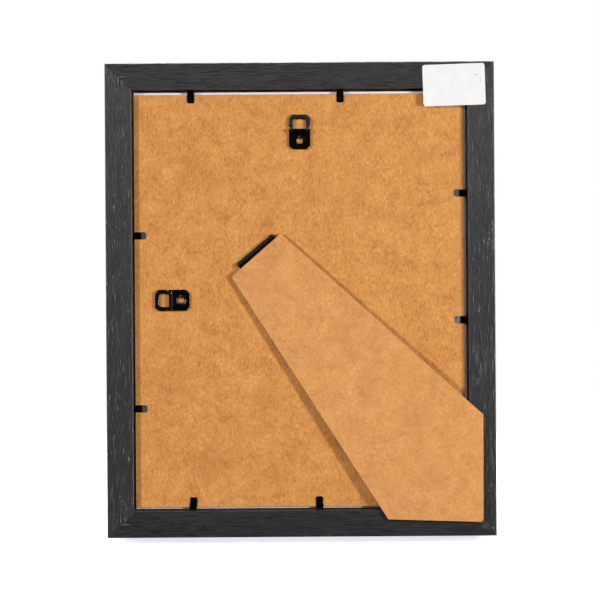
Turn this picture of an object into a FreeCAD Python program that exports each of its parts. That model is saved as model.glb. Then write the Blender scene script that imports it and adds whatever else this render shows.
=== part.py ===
import FreeCAD, Part
import math
import os

# An easel back photo frame for an 8 by 10 inch picture, in millimetres.
# It stands upright, +Z up, with the glass towards -Y and the back towards +Y.
# The origin is the middle of the bottom edge. Left and right are as seen from the front.
# Angles are in degrees.

# Picture and moulding
picture_width = 203.2
picture_height = 254.0
rabbet_side_play = 2.4          # rabbet opening over the picture's width
rabbet_end_play = 3.8           # and over its height
frame_depth = 15.0
rail_face_width = 22.0
lip_overlap = 5.6               # how far the front lip covers the glass
lip_thickness = 4.8
front_edge_radius = 1.2
sight_bevel_width = 3.0
sight_bevel_depth = 1.6
back_edge_chamfer = 0.4

# Glass, mount, sheet and board, from the front to the back
glass_thickness = 2.0
mount_thickness = 1.4
sheet_thickness = 0.3
board_thickness = 2.5
card_side_play = 2.4            # rabbet opening over the glass and the mount, across
card_end_play = 2.6             # and upwards
board_side_play = 3.6
board_end_play = 5.0
board_slip_share = 0.36         # share of its side play by which the board sits to the right
pack_drop_share = 0.2           # share of the end play by which glass, mount and board sit low
mount_border = 30.6             # card left round the mount's window
sheet_inset = 25.4              # sheet's edge inside the mount's edge

# V-nails across the mitres
nail_inset = 8.9                # apex to each outer edge of the frame
nail_arm = 5.2
nail_thickness = 0.6
nail_height = 7.0
nail_sink = 0.4

# Flexible tabs
tab_width = 4.4
tab_thickness = 0.45
tab_reach = 8.2                 # tip to the rabbet's wall
tab_tip_clip = 0.7
tab_board_gap = 0.15
tab_stub = 0.3                  # root left standing out of the wall
tab_bend_gap = 0.2
tab_root_depth = 9.0
tab_root_point = 2.0
tab_wall_and_place_share = {    # place along the wall, as a share of half its length
    "flex_tab_top_left": ("top", -0.243),
    "flex_tab_top_right": ("top", 0.648),
    "flex_tab_bottom_left": ("bottom", -0.106),
    "flex_tab_bottom_right": ("bottom", 0.650),
    "flex_tab_left_upper": ("left", 0.502),
    "flex_tab_left_lower": ("left", -0.101),
    "flex_tab_right_upper": ("right", 0.308),
    "flex_tab_right_lower": ("right", -0.515),
}
tab_leans = {"flex_tab_bottom_left": 1.7, "flex_tab_bottom_right": -4.8}

# Hangers: a strap folded round a toothed ring and clinched to the board
top_hanger_drop = 25.6          # ring axis below the rabbet's top wall
side_hanger_inset = 23.5        # ring axis inside the rabbet's right wall
strap_width = 13.0
strap_layer = 0.7
strap_clip = 2.2
strap_fold_angle = 130.0        # how far round the upper layer wraps the ring's bar
hole_distance = 6.1             # ring axis to the clinch hole
hole_edge = 5.1                 # clinch hole's centre to the strap's end
hole_radius = 2.0
hole_rim_radius = 3.3
hole_rim_height = 0.45
hole_rim_root = 0.1
hole_rim_slope = 0.4            # width of the rim's inner slope, and of its outer one
collar_wall = 0.35
collar_depth = 1.5
ring_thickness = 1.3
ring_outer_width = 13.1
ring_inner_width = 8.0
ring_reach = 10.05
ring_bar = 2.45
ring_clip_across = 2.15
ring_clip_along = 2.5
ring_inner_clip = 1.2
ring_leg_width = 1.5            # where the legs enter the strap
ring_shoulder_start = 1.9
ring_shoulder_end = 3.1
ring_edge_round = 0.5
tooth_radius = 0.55
tooth_thickness = 0.7
tooth_spacing = 2.3
ring_slot_play = 0.15
ring_slot_reach = 2.2
ring_slot_floor = 0.8           # below the ring's axis
ring_tip_gap = 0.3              # ring's far end above the board
bar_end_gap = 0.1

# Easel leg
leg_thickness = 2.0
leg_length = 216.8              # hinge axis to the foot's outer corner
leg_top_width = 40.3
leg_top_shift = 1.6             # leg's top towards its lower end, off the hinge's middle
leg_edge_gap_low = 2.7          # leg's top edge to the hinge axis, at its lower end
leg_edge_gap_high = 1.7         # and at its upper end
foot_base_width = 58.2
foot_base_rise = 2.0            # base's inner end above the foot's outer corner
foot_side_height = 65.8
foot_side_lean = 0.4            # side's upper end beyond the foot's outer corner
foot_inset_side = 8.2
foot_inset_bottom = 8.4
foot_corner_radius = 2.2
leg_corner_radius = 0.8
leg_rail_gap = 0.3              # folded leg over the rail's inner edge
hinge_angle = 39.65             # hinge axis above the horizontal
leg_swing = 30.0

# Easel hinge
hinge_length = 28.5
knuckle_count = 5
knuckle_gap = 0.15
leaf_thickness = 0.4
leaf_depth = 12.5               # leaf's edge from the axis
leaf_gap = 0.1
leaf_notch_play = 0.15
barrel_lift = 0.15
hinge_pin_radius = 0.8
pin_head_radius = 1.05
pin_head_length = 0.4
running_clearance = 0.05
claw_width = 2.4
claw_length = 1.5
claw_near = 3.6                 # nearer pair of claws from the axis
claw_far = 8.4
claw_spread = 17.0
stop_reach = 0.3                # stop lug beyond the barrel
stop_width = 0.45
stop_lug_angle = 14.0
stop_margin_angle = 1.0

# Label on the back
label_width = 38.1
label_height = 25.4
label_thickness = 0.15
label_corner_radius = 1.5
label_inset_side = 24.45        # label's centre from the frame's left edge
label_inset_top = 14.4          # and from its top edge
label_lean = 1.6

cut_overrun = 1.0

# Sizes that follow
rabbet_width = picture_width + rabbet_side_play
rabbet_height = picture_height + rabbet_end_play
rail_back_width = rail_face_width - lip_overlap
frame_width = rabbet_width + 2 * rail_back_width
frame_height = rabbet_height + 2 * rail_back_width
middle_height = frame_height / 2
front_face = -frame_depth / 2
back_face = frame_depth / 2
glass_front = front_face + lip_thickness
mount_front = glass_front + glass_thickness
sheet_front = mount_front + mount_thickness
board_front = sheet_front + sheet_thickness
board_back = board_front + board_thickness
card_width = rabbet_width - card_side_play
card_height = rabbet_height - card_end_play
card_middle = middle_height - pack_drop_share * card_end_play / 2
board_width = rabbet_width - board_side_play
board_height = rabbet_height - board_end_play
board_slip = board_slip_share * board_side_play / 2
board_middle = middle_height - pack_drop_share * board_end_play / 2
ring_bar_radius = ring_thickness / 2
strap_bore = ring_bar_radius + running_clearance
strap_roll = strap_bore + strap_layer
strap_top = 2 * strap_layer - strap_roll
hinge_bore = hinge_pin_radius + running_clearance
barrel_radius = hinge_bore + leaf_thickness
barrel_height = barrel_radius + barrel_lift
fixed_leaf_top = leaf_thickness - barrel_height
moving_leaf_bottom = fixed_leaf_top + leaf_gap
leg_underside = moving_leaf_bottom + leaf_thickness

left, right, up, down, back = [
    FreeCAD.Vector(*each) for each in ((-1, 0, 0), (1, 0, 0), (0, 0, 1), (0, 0, -1), (0, 1, 0))
]


def polygon(points):
    return Part.Face(Part.makePolygon(points + points[:1]))


def prism(points, along):
    return polygon(points).extrude(along)


def block(low, high):
    size = high - low
    return Part.makeBox(size.x, size.y, size.z, low)


def upright_slab(width, height, front, thickness, middle_x, middle_z):
    low = FreeCAD.Vector(middle_x - width / 2, front, middle_z - height / 2)
    high = FreeCAD.Vector(middle_x + width / 2, front + thickness, middle_z + height / 2)
    return block(low, high)


def place_of(along, across, out, origin):
    # carries local x, y and z to the three directions given, and local zero to the origin
    columns = FreeCAD.Matrix(
        along.x, across.x, out.x, origin.x,
        along.y, across.y, out.y, origin.y,
        along.z, across.z, out.z, origin.z,
        0, 0, 0, 1,
    )
    return FreeCAD.Placement(columns)


def placed(shape, place):
    moved = shape.copy()
    moved.Placement = place.multiply(moved.Placement)
    return moved


def one(shapes):
    joined = shapes[0]
    for shape in shapes[1:]:
        joined = joined.fuse(shape)
    return joined.removeSplitter()


# Rails
def rail_section(edge, inward):
    # edge is the outer edge at mid depth, inward points to the opening
    def at(depth, y):
        return edge + inward * depth + back * y

    radius = front_edge_radius
    rounding = radius * (1 - math.sqrt(0.5))
    start = at(0, front_face + radius)
    turn = Part.Arc(start, at(rounding, front_face + rounding), at(radius, front_face))
    points = [
        at(radius, front_face),
        at(rail_face_width - sight_bevel_width, front_face),
        at(rail_face_width, front_face + sight_bevel_depth),
        at(rail_face_width, glass_front),
        at(rail_back_width, glass_front),
        at(rail_back_width, back_face - back_edge_chamfer),
        at(rail_back_width - back_edge_chamfer, back_face),
        at(back_edge_chamfer, back_face),
        at(0, back_face - back_edge_chamfer),
        start,
    ]
    lines = Part.makePolygon(points)
    return Part.Face(Part.Wire([turn.toShape()] + lines.Edges))


def make_rail(corner, along, length, inward):
    bar = rail_section(corner, inward).extrude(along * length)
    half = front_face - cut_overrun
    mitre = [
        corner,
        corner + along * length,
        corner + along * (length - rail_face_width) + inward * rail_face_width,
        corner + along * rail_face_width + inward * rail_face_width,
    ]
    wedge = prism([point + back * half for point in mitre], back * (-2 * half))
    return bar.common(wedge)


low_left = FreeCAD.Vector(-frame_width / 2, 0, 0)
low_right = FreeCAD.Vector(frame_width / 2, 0, 0)
high_left = low_left + up * frame_height
rails = {
    "rail_bottom": make_rail(low_left, right, frame_width, up),
    "rail_top": make_rail(high_left, right, frame_width, down),
    "rail_left": make_rail(low_left, up, frame_height, right),
    "rail_right": make_rail(low_right, up, frame_height, left),
}


# V-nails: each is bent square, with an arm in each of two rails
def v_nail(side_x, side_z, top):
    apex = FreeCAD.Vector(
        side_x * (frame_width / 2 - nail_inset),
        back_face - nail_sink - nail_height,
        middle_height + side_z * (middle_height - nail_inset),
    )
    half = nail_thickness / 2
    outer, inner = half, half - nail_arm
    rise = back * (top - apex.y)
    ell = [(outer, outer), (inner, outer), (inner, -half), (-half, -half), (-half, inner), (outer, inner)]
    points = [apex + right * (side_x * x) + up * (side_z * z) for x, z in ell]
    return prism(points, rise)


corners = [(side_x, side_z) for side_x in (-1, 1) for side_z in (-1, 1)]
nails = [v_nail(side_x, side_z, back_face - nail_sink) for side_x, side_z in corners]
slot_top = back_face + cut_overrun
nail_slots = Part.makeCompound([v_nail(side_x, side_z, slot_top) for side_x, side_z in corners])


# Flexible tabs: a driven root, and a leaf that bends at the wall
tab_height = board_back + tab_board_gap + tab_thickness / 2
tab_walls = {
    "top": (down, right, rabbet_height / 2, rabbet_width / 2),
    "bottom": (up, right, rabbet_height / 2, rabbet_width / 2),
    "left": (right, up, rabbet_width / 2, rabbet_height / 2),
    "right": (left, up, rabbet_width / 2, rabbet_height / 2),
}
tab_axis_inset = tab_stub + tab_bend_gap + tab_thickness / 2


def tab_place(side, place_share, lean):
    inward, along, to_wall, half_wall = tab_walls[side]
    at_wall = up * middle_height - inward * to_wall + along * (place_share * half_wall) + back * tab_height
    turn = FreeCAD.Rotation(back, lean)
    reach = turn.multVec(inward)
    return place_of(reach, back.cross(reach), back, at_wall)


def tab_leaf():
    # local x runs from the wall to the tip, y along the wall
    half = tab_thickness / 2
    outline = [
        FreeCAD.Vector(tab_axis_inset, -tab_width / 2, -half),
        FreeCAD.Vector(tab_reach - tab_tip_clip, -tab_width / 2, -half),
        FreeCAD.Vector(tab_reach, tab_tip_clip - tab_width / 2, -half),
        FreeCAD.Vector(tab_reach, tab_width / 2 - tab_tip_clip, -half),
        FreeCAD.Vector(tab_reach - tab_tip_clip, tab_width / 2, -half),
        FreeCAD.Vector(tab_axis_inset, tab_width / 2, -half),
    ]
    leaf = prism(outline, FreeCAD.Vector(0, 0, tab_thickness))
    start = FreeCAD.Vector(tab_axis_inset, -tab_width / 2, 0)
    bend = Part.makeCylinder(half, tab_width, start, FreeCAD.Vector(0, 1, 0))
    return one([leaf, bend])


def tab_root(stub):
    half = tab_thickness / 2
    outline = [
        FreeCAD.Vector(stub, -tab_width / 2, -half),
        FreeCAD.Vector(stub, tab_width / 2, -half),
        FreeCAD.Vector(tab_root_point - tab_root_depth, tab_width / 2, -half),
        FreeCAD.Vector(-tab_root_depth, 0, -half),
        FreeCAD.Vector(tab_root_point - tab_root_depth, -tab_width / 2, -half),
    ]
    return prism(outline, FreeCAD.Vector(0, 0, tab_thickness))


tabs = {}
roots = []
root_slots = []
for tab_name, (wall, share) in tab_wall_and_place_share.items():
    tab_at = tab_place(wall, share, tab_leans.get(tab_name, 0))
    tabs[tab_name] = placed(tab_leaf(), tab_at)
    roots.append(placed(tab_root(tab_stub), tab_at))
    root_slots.append(placed(tab_root(cut_overrun), tab_at))
    axis_point = tab_at.multVec(FreeCAD.Vector(tab_axis_inset, 0, 0))
    axis_way = tab_at.Rotation.multVec(FreeCAD.Vector(0, -1, 0))
    print(tab_name, "bends about", [round(v, 4) for v in axis_point], [round(v, 5) for v in axis_way])

for rail_name in rails:
    rails[rail_name] = rails[rail_name].cut(nail_slots).cut(Part.makeCompound(root_slots))

# Glass, mount and sheet
glass = upright_slab(card_width, card_height, glass_front, glass_thickness, 0, card_middle)
mount = upright_slab(card_width, card_height, mount_front, mount_thickness, 0, card_middle)


# The window is cut at 45 degrees, wider towards the glass
window_width = card_width / 2 - mount_border
window_height = card_height / 2 - mount_border
front_spread = mount_thickness + cut_overrun
window = Part.makeWedge(
    -window_width - front_spread, mount_front - cut_overrun, -window_height - front_spread,
    cut_overrun - window_height, cut_overrun - window_width,
    window_width + front_spread, sheet_front + cut_overrun, window_height + front_spread,
    window_height - cut_overrun, window_width - cut_overrun,
)
window.translate(up * card_middle)
mount = mount.cut(window)
sheet = upright_slab(
    card_width - 2 * sheet_inset, card_height - 2 * sheet_inset, sheet_front, sheet_thickness, 0, card_middle
)


# Hangers. Local x runs from the ring's axis to its far end, y across, z out from the board.
def strap_plan():
    half = strap_width / 2
    end = -hole_distance - hole_edge
    front = strap_roll + cut_overrun
    low = -strap_roll - cut_overrun
    corners_of_plan = [
        (front, -half), (front, half), (end + strap_clip, half),
        (end, half - strap_clip), (end, strap_clip - half), (end + strap_clip, -half),
    ]
    height = FreeCAD.Vector(0, 0, 2 * (strap_roll + cut_overrun))
    return prism([FreeCAD.Vector(x, y, low) for x, y in corners_of_plan], height)


def strap_fold():
    angle = math.radians(strap_fold_angle)
    lift_off = FreeCAD.Vector(strap_roll * math.cos(angle), 0, strap_roll * math.sin(angle))
    slope = (lift_off.z - strap_top) / -math.cos(angle)
    landing = FreeCAD.Vector(lift_off.x - slope * math.sin(angle), 0, strap_top)
    end = -hole_distance - hole_edge
    turn = Part.Arc(FreeCAD.Vector(0, 0, -strap_roll), FreeCAD.Vector(strap_roll, 0, 0), lift_off)
    lines = Part.makePolygon([
        lift_off, landing, FreeCAD.Vector(end, 0, strap_top),
        FreeCAD.Vector(end, 0, -strap_roll), FreeCAD.Vector(0, 0, -strap_roll),
    ])
    section = Part.Face(Part.Wire([turn.toShape()] + lines.Edges))
    section.translate(FreeCAD.Vector(0, -strap_width / 2, 0))
    return section.extrude(FreeCAD.Vector(0, strap_width, 0))


def hanger_strap():
    hole_at = FreeCAD.Vector(-hole_distance, 0, 0)
    out = FreeCAD.Vector(0, 0, 1)
    crest = strap_top + hole_rim_height
    rim = polygon([
        FreeCAD.Vector(hole_radius, 0, strap_top - hole_rim_root),
        FreeCAD.Vector(hole_radius, 0, crest - hole_rim_height / 2),
        FreeCAD.Vector(hole_radius + hole_rim_slope, 0, crest),
        FreeCAD.Vector(hole_rim_radius - hole_rim_slope, 0, crest),
        FreeCAD.Vector(hole_rim_radius, 0, strap_top),
        FreeCAD.Vector(hole_rim_radius, 0, strap_top - hole_rim_root),
    ]).revolve(FreeCAD.Vector(0, 0, 0), out, 360)
    rim.translate(hole_at)
    plate = strap_fold().common(strap_plan())
    hole_low = hole_at - out * strap_roll
    plate = plate.cut(Part.makeCylinder(hole_radius, 2 * strap_roll, hole_low, out))
    start = FreeCAD.Vector(0, -strap_width, 0)
    across = FreeCAD.Vector(0, 1, 0)
    plate = plate.cut(Part.makeCylinder(strap_bore, 2 * strap_width, start, across))
    for side in (-1, 1):
        leg_middle = side * (ring_inner_width + ring_leg_width) / 2
        half = ring_leg_width / 2 + ring_slot_play
        low = FreeCAD.Vector(-ring_slot_reach, leg_middle - half, -ring_slot_floor)
        high = FreeCAD.Vector(strap_roll + cut_overrun, leg_middle + half, strap_roll + cut_overrun)
        plate = plate.cut(block(low, high))
    return one([plate, rim, clinch_collar()])


def clinch_collar():
    low = FreeCAD.Vector(-hole_distance, 0, -strap_roll - collar_depth)
    out = FreeCAD.Vector(0, 0, 1)
    tube = Part.makeCylinder(hole_radius + collar_wall, collar_depth, low, out)
    return tube.cut(Part.makeCylinder(hole_radius, collar_depth, low, out))


def ring_plan(x_and_y):
    low = [FreeCAD.Vector(x, y, -ring_thickness / 2) for x, y in x_and_y]
    return prism(low, FreeCAD.Vector(0, 0, ring_thickness))


ring_tilt = math.degrees(math.asin((strap_roll - ring_bar_radius - ring_tip_gap) / ring_reach))


def hanger_ring():
    outer = ring_outer_width / 2
    inner = ring_inner_width / 2
    leg_outer = inner + ring_leg_width
    far = ring_reach - ring_bar
    half_outline = [
        (0, leg_outer), (ring_shoulder_start, leg_outer), (ring_shoulder_end, outer),
        (ring_reach - ring_clip_along, outer), (ring_reach, outer - ring_clip_across),
    ]
    half_hole = [(0, inner), (far - ring_inner_clip, inner), (far, inner - ring_inner_clip)]
    halves = half_outline + [(x, -y) for x, y in reversed(half_outline)]
    hole = half_hole + [(x, -y) for x, y in reversed(half_hole)]
    loop = ring_plan(halves).cut(ring_plan(hole))
    flat_edges = []
    for edge in loop.Edges:
        ends = [vertex.Point for vertex in edge.Vertexes]
        flat = abs(ends[0].z - ends[1].z) < running_clearance
        at_axis = max(abs(ends[0].x), abs(ends[1].x)) < running_clearance
        if flat and not at_axis:
            flat_edges.append(edge)
    loop = loop.makeFillet(ring_edge_round, flat_edges)
    out = FreeCAD.Vector(0, 0, 1)
    teeth = [
        Part.makeCylinder(
            tooth_radius, tooth_thickness,
            FreeCAD.Vector(far, side * tooth_spacing / 2, -tooth_thickness / 2), out,
        )
        for side in (-1, 1)
    ]
    half_bar = strap_width / 2 - bar_end_gap
    start = FreeCAD.Vector(0, -half_bar, 0)
    bar = Part.makeCylinder(ring_bar_radius, 2 * half_bar, start, FreeCAD.Vector(0, 1, 0))
    ring = one([loop, bar] + teeth)
    ring.rotate(FreeCAD.Vector(0, 0, 0), FreeCAD.Vector(0, 1, 0), ring_tilt)
    return ring


ring_axis_y = board_back + strap_roll
top_hanger_z = middle_height + rabbet_height / 2 - top_hanger_drop
top_hanger_axis = FreeCAD.Vector(0, ring_axis_y, top_hanger_z)
side_hanger_axis = FreeCAD.Vector(rabbet_width / 2 - side_hanger_inset, ring_axis_y, middle_height)
hanger_places = {
    "top": place_of(up, right, back, top_hanger_axis),
    "side": place_of(right, down, back, side_hanger_axis),
}
straps = {name: placed(hanger_strap(), place) for name, place in hanger_places.items()}
rings = {name: placed(hanger_ring(), place) for name, place in hanger_places.items()}
clinch_grooves = [placed(clinch_collar(), place) for place in hanger_places.values()]

# Easel hinge and leg. Local x runs from the hinge axis to the foot, y along the axis, z out from the board.
hinge_turn = math.radians(hinge_angle)
to_foot = FreeCAD.Vector(-math.sin(hinge_turn), 0, -math.cos(hinge_turn))
along_hinge = FreeCAD.Vector(-math.cos(hinge_turn), 0, math.sin(hinge_turn))
foot_corner = FreeCAD.Vector(foot_inset_side - frame_width / 2, 0, foot_inset_bottom)
hinge_origin = foot_corner - to_foot * leg_length + back * (board_back + barrel_height)
hinge_place = place_of(to_foot, along_hinge, back, hinge_origin)


def on_leg(point):
    offset = point - hinge_origin
    return offset.dot(to_foot), offset.dot(along_hinge)


foot_side_top = foot_corner + up * foot_side_height + left * foot_side_lean
foot_base_end = foot_corner + right * foot_base_width + up * foot_base_rise
leg_top_low = (leg_edge_gap_low, -leg_top_width / 2 - leg_top_shift)
leg_top_high = (leg_edge_gap_high, leg_top_width / 2 - leg_top_shift)


def hinge_to_frame(x_and_y):
    return hinge_origin + to_foot * x_and_y[0] + along_hinge * x_and_y[1]


# The folded leg rests over the inner edges of the left and bottom rails, which sets its slope
top_high_point = hinge_to_frame(leg_top_high)
top_low_point = hinge_to_frame(leg_top_low)
side_share = (-rabbet_width / 2 - top_high_point.x) / (foot_side_top.x - top_high_point.x)
side_crossing = top_high_point + (foot_side_top - top_high_point) * side_share
base_share = (rail_back_width - top_low_point.z) / (foot_base_end.z - top_low_point.z)
base_crossing = top_low_point + (foot_base_end - top_low_point) * base_share
nearest_crossing = min(on_leg(side_crossing)[0], on_leg(base_crossing)[0])
rise_over_rail = back_face + leg_rail_gap - hinge_origin.y - leg_underside
leg_slope = math.degrees(math.asin(rise_over_rail / nearest_crossing))


def rounded_outline(points, radii, z):
    # a closed wire through the points, with each corner rounded by its own radius
    count = len(points)
    arcs = []
    starts = []
    ends = []
    for index in range(count):
        corner = FreeCAD.Vector(points[index][0], points[index][1], z)
        before = FreeCAD.Vector(points[index - 1][0], points[index - 1][1], z) - corner
        after_point = points[(index + 1) % count]
        after = FreeCAD.Vector(after_point[0], after_point[1], z) - corner
        before.normalize()
        after.normalize()
        half_angle = before.getAngle(after) / 2
        setback = radii[index] / math.tan(half_angle)
        bisector = (before + after).normalize()
        middle = corner + bisector * (radii[index] / math.sin(half_angle) - radii[index])
        start = corner + before * setback
        end = corner + after * setback
        arcs.append(Part.Arc(start, middle, end).toShape())
        starts.append(start)
        ends.append(end)
    edges = []
    for index in range(count):
        edges.append(arcs[index])
        edges.append(Part.makeLine(ends[index], starts[(index + 1) % count]))
    return Part.Wire(edges)


def knuckle_spans():
    pitch = hinge_length / knuckle_count
    starts = [index * pitch - hinge_length / 2 for index in range(knuckle_count)]
    return [(start, start + pitch) for start in starts]


fixed_spans = knuckle_spans()[::2]
moving_spans = knuckle_spans()[1::2]
hinge_axis = FreeCAD.Vector(0, 1, 0)


def knuckle(span):
    start = FreeCAD.Vector(0, span[0] + knuckle_gap / 2, 0)
    return Part.makeCylinder(barrel_radius, span[1] - span[0] - knuckle_gap, start, hinge_axis)


def bore():
    return Part.makeCylinder(hinge_bore, 2 * hinge_length, FreeCAD.Vector(0, -hinge_length, 0), hinge_axis)


def claws(root, tip):
    # flat points bent square out of a leaf, from its face at root to the tip
    points = []
    for near in (claw_near, claw_far):
        for middle in (-claw_spread / 2, claw_spread / 2):
            outline = [
                FreeCAD.Vector(near, middle - claw_width / 2, root),
                FreeCAD.Vector(near, middle + claw_width / 2, root),
                FreeCAD.Vector(near, middle, tip),
            ]
            points.append(prism(outline, FreeCAD.Vector(leaf_thickness, 0, 0)))
    return points


def claw_windows(low):
    # the openings that the bent claws leave in a leaf
    openings = []
    for near in (claw_near, claw_far):
        for middle in (-claw_spread / 2, claw_spread / 2):
            edge = near + leaf_thickness
            outline = [
                FreeCAD.Vector(edge, middle - claw_width / 2, low),
                FreeCAD.Vector(edge, middle + claw_width / 2, low),
                FreeCAD.Vector(edge + claw_length, middle, low),
            ]
            openings.append(prism(outline, FreeCAD.Vector(0, 0, leaf_thickness)))
    return openings


stop_outer = barrel_radius + stop_reach
fixed_claws = claws(fixed_leaf_top, -barrel_height - claw_length)
moving_claws = claws(moving_leaf_bottom, leg_underside + claw_length)


def fixed_leaf():
    half = hinge_length / 2 - knuckle_gap / 2
    low = FreeCAD.Vector(-stop_outer, -half, -barrel_height)
    high = FreeCAD.Vector(leaf_depth, half, fixed_leaf_top)
    leaf = block(low, high)
    for start, end in moving_spans:
        low = FreeCAD.Vector(stop_width - stop_outer, start - knuckle_gap / 2, -barrel_height)
        high = FreeCAD.Vector(barrel_radius + leaf_notch_play, end + knuckle_gap / 2, fixed_leaf_top)
        leaf = leaf.cut(block(low, high))
    for opening in claw_windows(-barrel_height):
        leaf = leaf.cut(opening)
    return one([leaf] + [knuckle(span) for span in fixed_spans] + fixed_claws).cut(bore())


def stop_lug(span):
    # turns with the leg until it meets the fixed leaf's strip behind the barrel
    meeting = 180 + math.degrees(math.asin(-fixed_leaf_top / stop_outer))
    leading = meeting - leg_swing - leg_slope - stop_margin_angle
    y = span[0] + knuckle_gap / 2
    rim = []
    for angle in (leading, leading - stop_lug_angle / 2, leading - stop_lug_angle):
        turn = math.radians(angle)
        rim.append(FreeCAD.Vector(stop_outer * math.cos(turn), y, stop_outer * math.sin(turn)))
    centre = FreeCAD.Vector(0, y, 0)
    edges = [Part.makeLine(centre, rim[0]), Part.Arc(*rim).toShape(), Part.makeLine(rim[2], centre)]
    return Part.Face(Part.Wire(edges)).extrude(hinge_axis * (span[1] - span[0] - knuckle_gap))


def moving_leaf():
    half = hinge_length / 2 - knuckle_gap / 2
    low = FreeCAD.Vector((hinge_bore + barrel_radius) / 2, -half, moving_leaf_bottom)
    high = FreeCAD.Vector(leaf_depth, half, leg_underside)
    leaf = block(low, high)
    for start, end in fixed_spans:
        low = FreeCAD.Vector(0, start - knuckle_gap / 2, moving_leaf_bottom)
        high = FreeCAD.Vector(barrel_radius + leaf_notch_play, end + knuckle_gap / 2, leg_underside)
        leaf = leaf.cut(block(low, high))
    for opening in claw_windows(moving_leaf_bottom):
        leaf = leaf.cut(opening)
    pieces = [leaf] + [knuckle(span) for span in moving_spans] + [stop_lug(span) for span in moving_spans]
    return one(pieces + moving_claws).cut(bore())


def folded(shape):
    # turns a piece of the leg from flat to its folded slope, and carries it to the frame
    shape = shape.copy()
    shape.rotate(FreeCAD.Vector(0, 0, 0), hinge_axis, -leg_slope)
    return placed(shape, hinge_place)


def hinge_pin():
    length = hinge_length - knuckle_gap
    start = FreeCAD.Vector(0, -length / 2, 0)
    pin = Part.makeCylinder(hinge_pin_radius, length, start, hinge_axis)
    heads = []
    for side in (-1, 1):
        end = FreeCAD.Vector(0, side * length / 2, 0)
        heads.append(Part.makeCylinder(pin_head_radius, pin_head_length, end, hinge_axis * side))
    return one([pin] + heads)


leg_points = [leg_top_low, on_leg(foot_base_end), on_leg(foot_corner), on_leg(foot_side_top), leg_top_high]
leg_radii = [leg_corner_radius, leg_corner_radius, foot_corner_radius, leg_corner_radius, leg_corner_radius]
leg = Part.Face(rounded_outline(leg_points, leg_radii, leg_underside))
leg = leg.extrude(FreeCAD.Vector(0, 0, leg_thickness))
leg = leg.cut(Part.makeCompound(moving_claws))

# Board, with the grooves and slits that its hardware is driven into
board = upright_slab(board_width, board_height, board_front, board_thickness, board_slip, board_middle)
board = board.cut(Part.makeCompound(clinch_grooves))
board = board.cut(Part.makeCompound([placed(claw, hinge_place) for claw in fixed_claws]))

# Label
label_half = (label_width / 2, label_height / 2)
label_points = [(x * label_half[0], z * label_half[1]) for x, z in ((-1, -1), (1, -1), (1, 1), (-1, 1))]
label = Part.Face(rounded_outline(label_points, [label_corner_radius] * 4, 0))
label = label.extrude(FreeCAD.Vector(0, 0, label_thickness))
label_turn = math.radians(label_lean)
label_along = FreeCAD.Vector(-math.cos(label_turn), 0, math.sin(label_turn))
label_at = FreeCAD.Vector(label_inset_side - frame_width / 2, back_face, frame_height - label_inset_top)
label = placed(label, place_of(label_along, back.cross(label_along), back, label_at))

nodes = dict(rails)
nodes["corner_v_nails"] = Part.makeCompound(nails)
nodes["glass_pane"] = glass
nodes["window_mount"] = mount
nodes["picture_sheet"] = sheet
nodes["backing_board"] = board
nodes.update(tabs)
nodes["flex_tab_roots"] = Part.makeCompound(roots)
nodes["hanger_plate_top"] = straps["top"]
nodes["hanger_plate_side"] = straps["side"]
nodes["hanger_ring_top"] = rings["top"]
nodes["hanger_ring_side"] = rings["side"]
nodes["hinge_fixed_leaf"] = placed(fixed_leaf(), hinge_place)
nodes["hinge_moving_leaf"] = folded(moving_leaf())
nodes["hinge_pin"] = placed(hinge_pin(), hinge_place)
nodes["easel_leg"] = folded(leg)
nodes["corner_label"] = label

os.makedirs("parts", exist_ok=True)
for node_name, shape in nodes.items():
    shape.exportStep(os.path.join("parts", node_name + ".step"))
    box = shape.BoundBox
    low = [round(v, 2) for v in (box.XMin, box.YMin, box.ZMin)]
    high = [round(v, 2) for v in (box.XMax, box.YMax, box.ZMax)]
    print(node_name, len(shape.Solids), "solid", "valid" if shape.isValid() else "NOT VALID",
          round(shape.Volume, 2), low, high)
print("hinge axis through", [round(v, 4) for v in hinge_origin], "along", [round(-v, 5) for v in along_hinge])
print("leg slope", round(leg_slope, 4), "ring tilt", round(ring_tilt, 4))
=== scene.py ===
import bmesh
import bpy
import math
from mathutils import Matrix, Vector


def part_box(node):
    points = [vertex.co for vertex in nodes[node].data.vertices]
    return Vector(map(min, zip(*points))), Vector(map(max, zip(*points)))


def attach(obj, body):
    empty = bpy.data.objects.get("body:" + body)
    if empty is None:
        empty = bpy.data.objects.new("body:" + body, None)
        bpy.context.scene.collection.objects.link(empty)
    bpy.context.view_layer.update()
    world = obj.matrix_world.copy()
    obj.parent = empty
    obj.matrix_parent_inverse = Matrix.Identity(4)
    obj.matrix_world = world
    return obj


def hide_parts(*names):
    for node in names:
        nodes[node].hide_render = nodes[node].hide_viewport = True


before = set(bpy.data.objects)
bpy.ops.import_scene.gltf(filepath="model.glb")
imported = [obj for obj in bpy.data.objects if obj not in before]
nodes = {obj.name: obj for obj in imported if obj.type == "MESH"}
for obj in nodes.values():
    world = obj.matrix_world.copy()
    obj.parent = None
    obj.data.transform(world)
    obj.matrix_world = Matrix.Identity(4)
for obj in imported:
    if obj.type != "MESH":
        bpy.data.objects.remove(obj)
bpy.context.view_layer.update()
mm = 0.001
print("frame loaded:", len(nodes), "nodes")

scene = bpy.context.scene
scene.view_settings.view_transform = "Standard"


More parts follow.
